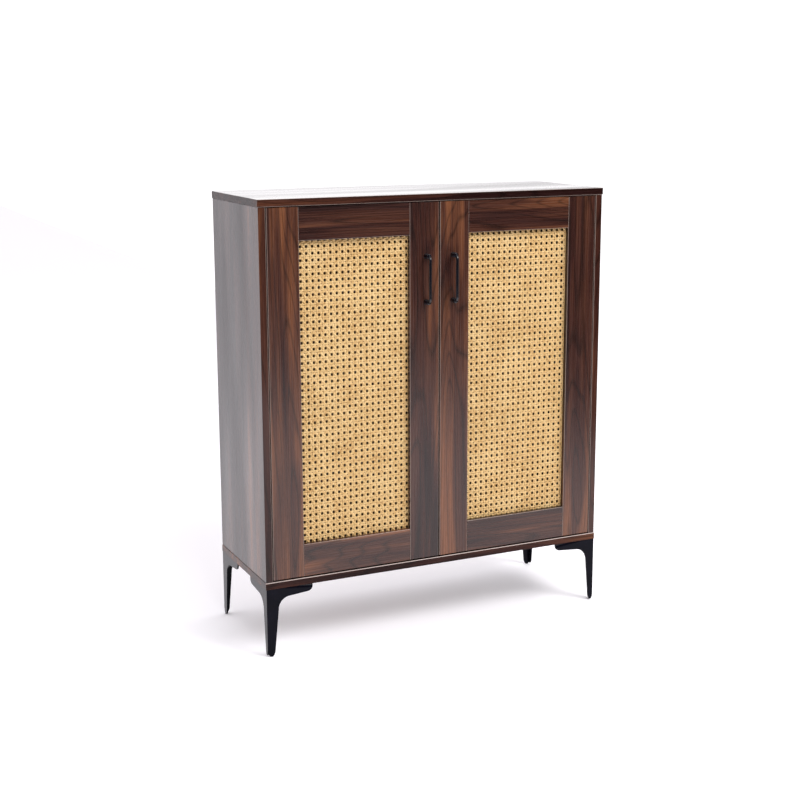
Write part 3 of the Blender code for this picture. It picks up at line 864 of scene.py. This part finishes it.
# --- Cane webbing ----------------------------------------------------------------------------
@dataclass(frozen=True)
class CaneWebbing:
    """Octagonal cane webbing: pairs of uprights and cross strands with diagonals laced through.

    A tile is centred on a hole. Its two uprights and two cross strands lie inside it, and four
    diagonals run between the middles of its sides.
    """

    side: Side
    hole_from_left: float
    hole_from_top: float
    column: float = 0.0131
    row: float = 0.0140
    strand_inset: float = 0.0025
    strand_width: float = 0.0035
    diagonal_width: float = 0.0036
    half_thickness: float = 0.00030
    ripple: float = 0.00022
    diagonal_ripple: float = 0.00055
    straight_steps: int = 4
    diagonal_steps: int = 2
    border: float = 0.0095

    def strand(
        self, start: Point, end: Point, width: float, ripple: float, waves: tuple[float, float]
    ) -> bpy.types.Object:
        """One rippling strand, a lens-shaped section extruded step by step.

        Args:
            start: The (x, 0, z) point where it starts.
            end: The (x, 0, z) point where it ends.
            width: Its width.
            ripple: How far it moves towards +Y and back.
            waves: The angle of the ripple's cosine at the start and at the end, in degrees.

        Returns:
            The strand, open at both ends.
        """
        run = Vector(end) - Vector(start)
        steps = self.straight_steps if width == self.strand_width else self.diagonal_steps
        heights = []
        for step in range(steps + 1):
            angle = math.radians(waves[0] + (waves[1] - waves[0]) * step / steps)
            heights.append(ripple * math.cos(angle))
        deselect_all()
        bpy.ops.mesh.primitive_circle_add(vertices=4, radius=1.0, fill_type="NOTHING")
        piece = bpy.context.object
        with editing(piece):
            bpy.ops.transform.resize(value=(width / 2, self.half_thickness, 1.0))
            bpy.ops.transform.translate(value=(0.0, heights[0], 0.0))
            for before, after in zip(heights, heights[1:]):
                move = (0.0, after - before, run.length / steps)
                bpy.ops.mesh.extrude_region_move(TRANSFORM_OT_translate={"value": move})
        place(piece, start, (0.0, math.atan2(run.x, run.z), 0.0))
        return piece

    def tile(self) -> bpy.types.Object:
        """One tile of the weave.

        Returns:
            The tile, centred on its hole.
        """
        half_x, half_z = self.column / 2, self.row / 2
        x, z = half_x - self.strand_inset, half_z - self.strand_inset
        wide, thin = self.strand_width, self.ripple
        pieces = [
            self.strand((-x, 0, -half_z), (-x, 0, half_z), wide, thin, (90, -270)),
            self.strand((x, 0, -half_z), (x, 0, half_z), wide, thin, (-90, 270)),
            self.strand((-half_x, 0, z), (half_x, 0, z), wide, thin, (-90, 270)),
            self.strand((-half_x, 0, -z), (half_x, 0, -z), wide, thin, (90, -270)),
        ]
        # Falling diagonals pass in front of the uprights, rising ones in front of the cross strands.
        wide, thin = self.diagonal_width, self.diagonal_ripple
        left, right, top, bottom = (-half_x, 0, 0), (half_x, 0, 0), (0, 0, half_z), (0, 0, -half_z)
        pieces += [
            self.strand(left, bottom, wide, thin, (180, 0)),
            self.strand(top, right, wide, thin, (0, 180)),
            self.strand(left, top, wide, thin, (0, 180)),
            self.strand(bottom, right, wide, thin, (180, 0)),
        ]
        return join(pieces, self.side.word + "_cane_webbing")

    def build(self, material: bpy.types.Material) -> None:
        """Weaves one door's panel, trims it and puts it in the door.

        Args:
            material: The cane's material.
        """
        node = self.side.word + "_cane_panel"
        low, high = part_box(node)
        piece = self.tile()
        columns = math.ceil((high.x - low.x) / self.column) + 2
        rows = math.ceil((high.z - low.z) / self.row) + 2
        for count, offset in ((columns, (self.column, 0, 0)), (rows, (0, 0, self.row))):
            apply_modifier(
                piece,
                "ARRAY",
                count=count,
                use_relative_offset=False,
                use_constant_offset=True,
                constant_offset_displace=offset,
                use_merge_vertices=True,
                merge_threshold=0.00002,
            )
        hole_x = low.x + self.border + self.hole_from_left
        hole_z = high.z - self.border - self.hole_from_top
        start_x = hole_x - math.ceil((hole_x - low.x) / self.column) * self.column
        start_z = hole_z - math.ceil((hole_z - low.z) / self.row) * self.row
        place(piece, (start_x, (low.y + high.y) / 2, start_z))
        cuts = (
            (Vector(low), Vector((-1, 0, 0))),
            (Vector(low), Vector((0, 0, -1))),
            (Vector(high), Vector((1, 0, 0))),
            (Vector(high), Vector((0, 0, 1))),
        )
        for point, normal in cuts:
            with editing(piece):
                bpy.ops.mesh.bisect(
                    plane_co=point, plane_no=normal, use_fill=True, clear_outer=True, threshold=1e-6
                )
        with editing(piece):
            bpy.ops.mesh.normals_make_consistent(inside=False)
            bpy.ops.mesh.faces_shade_smooth()
        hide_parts(node)
        finish_piece(piece, material, self.side.word + "_door")


# --- Legs ------------------------------------------------------------------------------------
@dataclass(frozen=True)
class Flange:
    """One side of a leg: where its fillet meets the arm and the post, the post's widths, and
    how far its end stays off the floor."""

    fillet_run: float
    fillet_drop: float
    post: float
    tip: float
    lift: float = 0.0


@dataclass(frozen=True)
class Leg:
    """An angle-section leg with a screw plate, one pattern turned to each corner."""

    wide: Flange = Flange(0.052, 0.046, 0.0262, 0.0176)
    narrow: Flange = Flange(0.047, 0.052, 0.0189, 0.0120, 0.0030)
    height: float = 0.147
    seat_gap: float = 0.0003
    wall: float = 0.0035
    arm: float = 0.1025
    arm_end_depth: float = 0.0156
    arm_root_depth: float = 0.0192
    arm_end_radius: float = 0.012
    tip_height: float = 0.017
    tip_flat: float = 12.0
    plate: float = 0.0025
    plate_width: float = 0.0155
    gusset: float = 0.016
    hole: float = 0.0023
    hole_reach: tuple[float, float] = (0.045, 0.085)
    rounding: float = 0.0005

    @property
    def screw_line(self) -> float:
        """How far the screws are from the leg's outer faces."""
        return (self.wall + self.plate_width) / 2

    def outline(self, flange: Flange) -> list[FlatPoint]:
        """A flange seen square on.

        Args:
            flange: The flange's sizes.

        Returns:
            Points as distance from the corner, and height.
        """
        radius, half_tip = self.arm_end_radius, flange.tip / 2
        lobe = (half_tip, self.tip_height - self.height)
        drop = (self.tip_height - flange.lift) / math.cos(math.radians(self.tip_flat))
        points = [(0.0, -self.seat_gap), (self.arm, -self.seat_gap)]
        points += arc((self.arm - radius, radius - self.arm_end_depth), (radius, radius), 0, -90, 10)
        reach = (flange.fillet_run - flange.post, flange.fillet_drop - self.arm_root_depth)
        points += arc((flange.fillet_run, -flange.fillet_drop), reach, 90, 180, 18)
        points += arc(lobe, (half_tip, drop), 0, self.tip_flat - 90, 9)
        points += arc(lobe, (half_tip, drop), -90 - self.tip_flat, -180, 9)
        return points

    def pattern(self) -> bpy.types.Object:
        """The leg with its outer corner on its own Z axis and its wide flange along +X.

        Returns:
            The finished leg, under the origin.
        """
        leg = solid_from_outline("leg_pattern", self.outline(self.wide), self.wall)
        narrow = solid_from_outline("leg_narrow_flange", self.outline(self.narrow), self.wall)
        place(narrow, (self.wall, 0, 0), (0, 0, math.pi / 2))
        edge, length = self.wall / 2, self.arm - self.arm_end_radius / 2
        width, corner = self.plate_width, self.plate_width + self.gusset
        outline = [(edge, edge), (length, edge), (length, width)]
        outline += [(corner, width), (width, corner), (width, length)]
        plate = solid_from_outline("leg_plate", [*outline, (edge, length)], self.plate)
        place(plate, (0, 0, -self.seat_gap), (-math.pi / 2, 0, 0))
        combine(leg, narrow, "UNION")
        combine(leg, plate, "UNION")
        for reach in self.hole_reach:
            for x, y in ((reach, self.screw_line), (self.screw_line, reach)):
                deselect_all()
                bpy.ops.mesh.primitive_cylinder_add(
                    vertices=24, radius=self.hole, depth=0.02, location=(x, y, 0)
                )
                combine(leg, bpy.context.object, "DIFFERENCE")
        with editing(leg):
            bpy.ops.mesh.remove_doubles(threshold=0.00002)
            bpy.ops.mesh.normals_make_consistent(inside=False)
        soften(leg, self.rounding, 2, 40.0)
        return leg

    def build(self, material: bpy.types.Material) -> None:
        """Sets a leg at each corner.

        Args:
            material: The legs' finish.
        """
        pattern = self.pattern()
        for corner in Corner:
            low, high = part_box(corner.node)
            right, back, _ = corner.value
            at = (high.x if right > 0 else low.x, high.y if back > 0 else low.y, self.height)
            leg = copy_of(pattern, corner.node + "_angle")
            place(leg, at, (0, 0, corner.turn))
            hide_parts(corner.node)
            finish_piece(leg, material, "cabinet")
        remove(pattern)

    def screw_places(self) -> list[Point]:
        """Where the legs' screw heads sit.

        Returns:
            The points on the undersides of the plates.
        """
        places = []
        for corner in Corner:
            low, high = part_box(corner.node)
            right, back, _ = corner.value
            x0, y0 = (high.x if right > 0 else low.x), (high.y if back > 0 else low.y)
            for reach in self.hole_reach:
                places.append((x0 - right * reach, y0 - back * self.screw_line, 0.0))
                places.append((x0 - right * self.screw_line, y0 - back * reach, 0.0))
        height = self.height - self.seat_gap - self.plate
        return [(x, y, height) for x, y, _ in places]


# --- Handles ---------------------------------------------------------------------------------
@dataclass(frozen=True)
class Handle:
    """A round bar bent back into two collared posts."""

    side: Side
    bar_radius: float = 0.0031
    bend_radius: float = 0.0085
    post_radius: float = 0.0061
    post_neck: float = 0.0049
    post_length: float = 0.0152
    hole_spacing: float = 0.096

    def post(self, at: Vector) -> bpy.types.Object:
        """One post, a tapered cylinder with a rounded foot and shoulder.

        Args:
            at: The middle of its foot, on the door.

        Returns:
            The post.
        """
        deselect_all()
        bpy.ops.mesh.primitive_cone_add(
            vertices=40, radius1=self.post_radius, radius2=self.post_neck, depth=self.post_length
        )
        piece = bpy.context.object
        soften(piece, 0.0007, 3, 40.0)
        place(piece, at - Vector((0, self.post_length / 2, 0)), (math.pi / 2, 0, 0))
        return piece

    def build(self, material: bpy.types.Material) -> None:
        """Builds the handle on its door.

        Args:
            material: The handle's finish.
        """
        node = self.side.word + "_handle"
        low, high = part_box(node)
        x, middle = (low.x + high.x) / 2, (low.z + high.z) / 2
        front, back = low.y + self.bar_radius, high.y
        top, bottom = middle + self.hole_spacing / 2, middle - self.hole_spacing / 2
        bend = self.bend_radius
        path = [(back - self.post_length / 2, top)]
        path += arc((front + bend, top - bend), (bend, bend), 90, 180, 10)
        path += arc((front + bend, bottom + bend), (bend, bend), 180, 270, 10)
        path += [(back - self.post_length / 2, bottom)]
        line = bpy.data.curves.new(node + "_line", "CURVE")
        line.dimensions = "3D"
        line.bevel_depth = self.bar_radius
        line.bevel_resolution = 5
        line.use_fill_caps = True
        spline = line.splines.new("POLY")
        spline.points.add(len(path) - 1)
        for point, (y, z) in zip(spline.points, path):
            point.co = (x, y, z, 1.0)
        bar = bpy.data.objects.new(node + "_bar", line)
        bpy.context.scene.collection.objects.link(bar)
        activate(bar)
        bpy.ops.object.convert(target="MESH")
        bar = bpy.context.object
        bpy.ops.object.shade_smooth_by_angle(angle=math.radians(40))
        posts = [self.post(Vector((x, back, z))) for z in (top, bottom)]
        piece = join([bar, *posts], node + "_bar")
        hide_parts(node)
        finish_piece(piece, material, self.side.word + "_door")


# --- Screws ----------------------------------------------------------------------------------
@dataclass(frozen=True)
class Screw:
    """A pan-head screw with a cross recess, modelled once and copied."""

    radius: float
    height: float
    shank_radius: float
    shank: float
    slot: float = 0.0011

    def pattern(self) -> bpy.types.Object:
        """The screw, its head above the origin and its shank below.

        Returns:
            The screw.
        """
        deselect_all()
        bpy.ops.mesh.primitive_cylinder_add(
            vertices=28, radius=self.radius, depth=self.height, location=(0, 0, self.height / 2)
        )
        head = bpy.context.object
        apply_place(head)
        soften(head, self.height * 0.45, 3, 40.0)
        for length, width in ((self.radius * 1.25, self.slot), (self.slot, self.radius * 1.25)):
            deselect_all()
            bpy.ops.mesh.primitive_cube_add(size=1.0, location=(0, 0, self.height))
            slot = bpy.context.object
            slot.scale = (length, width, self.height)
            apply_place(slot)
            combine(head, slot, "DIFFERENCE")
        deselect_all()
        bpy.ops.mesh.primitive_cylinder_add(
            vertices=16, radius=self.shank_radius, depth=self.shank, location=(0, 0, -self.shank / 2)
        )
        shank = bpy.context.object
        apply_place(shank)
        with editing(head):
            bpy.ops.mesh.normals_make_consistent(inside=False)
        return join([head, shank], "screw_pattern")

    def row(self, name: str, places: Sequence[Point], turn: Point) -> bpy.types.Object:
        """Copies of the screw, joined into one piece.

        Args:
            name: The piece's name.
            places: Where the undersides of the heads sit.
            turn: The turns about X, Y and Z that point the heads outwards.

        Returns:
            The piece.
        """
        pattern = self.pattern()
        copies = []
        for number, at in enumerate(places):
            screw = copy_of(pattern, f"{name}_{number}")
            place(screw, at, turn)
            copies.append(screw)
        remove(pattern)
        return join(copies, name)


@dataclass(frozen=True)
class Fittings:
    """The hinges, pins, plates and catch of the frame, and the screws that hold them."""

    ear_offset: float = 0.0065
    ear_screw: float = 0.0235
    wing_screw: float = 0.0220
    wing_thickness: float = 0.0025

    def build(self) -> None:
        """Dresses the metal nodes and adds the screws."""
        steel = Steel().material("fitting_steel")
        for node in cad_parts:
            if any(word in node for word in ("hinge", "shelf_pin", "strike_plate")):
                dress(node, steel)
        dress("door_catch", Plastic().material("catch_plastic"))
        for side in Side:
            self.handle_screws(side, steel)
            self.hinge_screws(side, steel)
        leg = Leg()
        screw = Screw(radius=0.0040, height=0.0020, shank_radius=0.0019, shank=0.012)
        screws = screw.row("leg_screws", leg.screw_places(), (math.pi, 0, 0))
        finish_piece(screws, steel, "cabinet")

    def handle_screws(self, side: Side, steel: bpy.types.Material) -> None:
        """Two screws through the door into the handle's posts.

        Args:
            side: The door.
            steel: The finish.
        """
        for end in ("upper", "lower"):
            node = f"{side.word}_handle_screw_{end}"
            low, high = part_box(node)
            head = 0.0022
            at = ((low.x + high.x) / 2, high.y - head, (low.z + high.z) / 2)
            screw = Screw(radius=0.0042, height=head, shank_radius=0.0019, shank=high.y - head - low.y)
            piece = screw.row(node + "_head", [at], (-math.pi / 2, 0, 0))
            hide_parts(node)
            finish_piece(piece, steel, side.word + "_door")

    def hinge_screws(self, side: Side, steel: bpy.types.Material) -> None:
        """The screws of one door's hinge cups and mounting plates.

        Args:
            side: The door.
            steel: The finish.
        """
        cups, wings = [], []
        inward = -side.value
        for end in ("lower", "upper"):
            low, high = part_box(f"{side.word}_{end}_hinge_cup")
            x = (low.x + high.x) / 2 + inward * self.ear_offset
            z = (low.z + high.z) / 2
            cups += [(x, high.y, z + step) for step in (self.ear_screw, -self.ear_screw)]
            low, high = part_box(f"{side.word}_{end}_hinge_plate")
            face = high.x if side is Side.RIGHT else low.x
            y, z = (low.y + high.y) / 2, (low.z + high.z) / 2
            x = face + inward * self.wing_thickness
            wings += [(x, y, z + step) for step in (self.wing_screw, -self.wing_screw)]
        screw = Screw(radius=0.0034, height=0.0014, shank_radius=0.0016, shank=0.009)
        piece = screw.row(side.word + "_cup_screws", cups, (-math.pi / 2, 0, 0))
        finish_piece(piece, steel, side.word + "_door")
        turn = (0, inward * math.pi / 2, 0)
        screw = Screw(radius=0.0036, height=0.0018, shank_radius=0.0018, shank=0.010)
        piece = screw.row(side.word + "_plate_screws", wings, turn)
        finish_piece(piece, steel, "cabinet")


# --- Studio ----------------------------------------------------------------------------------
@dataclass(frozen=True)
class Softbox:
    """A square area light aimed at a point."""

    name: str
    at: Point
    size: float
    power: float
    aim: Point = (0.0, 0.0, 0.5)

    def build(self) -> None:
        """Adds the light."""
        lamp = bpy.data.lights.new(self.name, "AREA")
        lamp.shape = "SQUARE"
        lamp.size = self.size
        lamp.energy = self.power
        light = bpy.data.objects.new(self.name, lamp)
        light.location = self.at
        away = Vector(self.aim) - Vector(self.at)
        light.rotation_euler = away.to_track_quat("-Z", "Y").to_euler()
        bpy.context.scene.collection.objects.link(light)


@dataclass(frozen=True)
class Studio:
    """A pale floor, soft lights, a bright surround and the camera."""

    softboxes: tuple[Softbox, ...] = (
        Softbox("key_softbox", (1.5, -2.3, 3.2), 1.8, 118.0),
        Softbox("fill_softbox", (-0.2, -2.9, 2.9), 1.6, 52.0),
    )
    surround: float = 1.32
    front_surround: float = 0.02
    surround_span: tuple[float, float] = (-0.70, 0.15)
    floor_front: float = -2.7
    floor_right: float = 1.25
    floor_size: float = 40.0
    camera_at: Point = (-1.3203, -2.7534, 1.1498)
    yaw: float = 25.49
    pitch: float = 11.36
    roll: float = 0.11
    lens: float = 63.32
    shift: tuple[float, float] = (-0.0110, -0.0279)

    def build(self) -> None:
        """Sets up the floor, the lights, the surround and the camera."""
        self.build_floor()
        self.build_surround()
        for softbox in self.softboxes:
            softbox.build()
        self.build_camera()
        settings = bpy.context.scene.view_settings
        settings.view_transform = "Standard"
        settings.look = "None"

    def build_floor(self) -> None:
        """A large pale floor, mostly behind the cabinet."""
        deselect_all()
        half = self.floor_size / 2
        middle = (self.floor_right - half, self.floor_front + half, 0)
        bpy.ops.mesh.primitive_plane_add(size=self.floor_size, location=middle)
        floor = bpy.context.object
        floor.name = "studio_floor"
        shader = Shader("floor_paint")
        mottle = shader.noise(shader.coordinates((1, 1, 1)), 3.0, 2.0)
        colour = shader.ramp(mottle, [(0.3, (0.93, 0.91, 0.95)), (0.7, (0.945, 0.925, 0.965))])
        shader.surface_set(Emission_Color=(1.0, 1.0, 1.0, 1.0), Emission_Strength=0.12)
        floor.data.materials.append(shader.surface_set(Base_Color=colour, Roughness=0.7))

    def build_surround(self) -> None:
        """A bright room that is dim on the side the doors face."""
        world = bpy.data.worlds.new("studio_surround")
        bpy.context.scene.world = world
        world.use_nodes = True
        tree = world.node_tree
        own = tree.nodes.new("ShaderNodeTexCoord").outputs["Generated"]
        split = tree.nodes.new("ShaderNodeSeparateXYZ")
        tree.links.new(own, split.inputs[0])
        grade = tree.nodes.new("ShaderNodeMapRange")
        grade.interpolation_type = "SMOOTHSTEP"
        tree.links.new(split.outputs["Y"], grade.inputs["Value"])
        ends = (*self.surround_span, self.front_surround, self.surround)
        for key, value in zip(("From Min", "From Max", "To Min", "To Max"), ends):
            grade.inputs[key].default_value = value
        seen = tree.nodes.new("ShaderNodeMath")
        seen.operation = "MAXIMUM"
        tree.links.new(grade.outputs[0], seen.inputs[0])
        tree.links.new(tree.nodes.new("ShaderNodeLightPath").outputs["Is Camera Ray"], seen.inputs[1])
        tree.links.new(seen.outputs[0], tree.nodes["Background"].inputs["Strength"])
        tree.nodes["Background"].inputs["Color"].default_value = (0.995, 0.98, 1.0, 1.0)

    def build_camera(self) -> None:
        """The camera, to the cabinet's left and a little above it."""
        data = bpy.data.cameras.new("camera")
        data.sensor_width = 36.0
        data.lens = self.lens
        data.shift_x, data.shift_y = self.shift
        camera = bpy.data.objects.new("camera", data)
        camera.location = self.camera_at
        turns = (90.0 - self.pitch, self.roll, -self.yaw)
        camera.rotation_euler = tuple(math.radians(turn) for turn in turns)
        bpy.context.scene.collection.objects.link(camera)
        bpy.context.scene.camera = camera


def main() -> None:
    """Builds the cabinet's looks and the studio, piece by piece."""
    logging.basicConfig(level=logging.INFO, format="%(message)s")
    Studio().build()
    Carcass().build()
    DoorFrame(
        Side.LEFT, outer_warmth=1.4, inner_warmth=-0.3, rail_warmth=(-0.9, 1.3), seed=11.0,
        knots=((-0.024, 0.832, 0.010),),
    ).build()
    DoorFrame(
        Side.RIGHT, outer_warmth=0.9, inner_warmth=1.3, rail_warmth=(-0.3, -0.6), seed=23.0,
        knots=((0.018, 0.797, 0.016),),
    ).build()
    cane = Cane().material("cane_skin")
    CaneWebbing(Side.LEFT, hole_from_left=0.0065, hole_from_top=0.0133).build(cane)
    CaneWebbing(Side.RIGHT, hole_from_left=0.0133, hole_from_top=0.0043).build(cane)
    coat = PowderCoat().material("black_powder_coat")
    Leg().build(coat)
    satin = PowderCoat(roughness=0.15, gloss=(0.5, 0.6)).material("black_satin_coat")
    for side in Side:
        Handle(side).build(satin)
    Fittings().build()


if __name__ == "__main__":
    main()
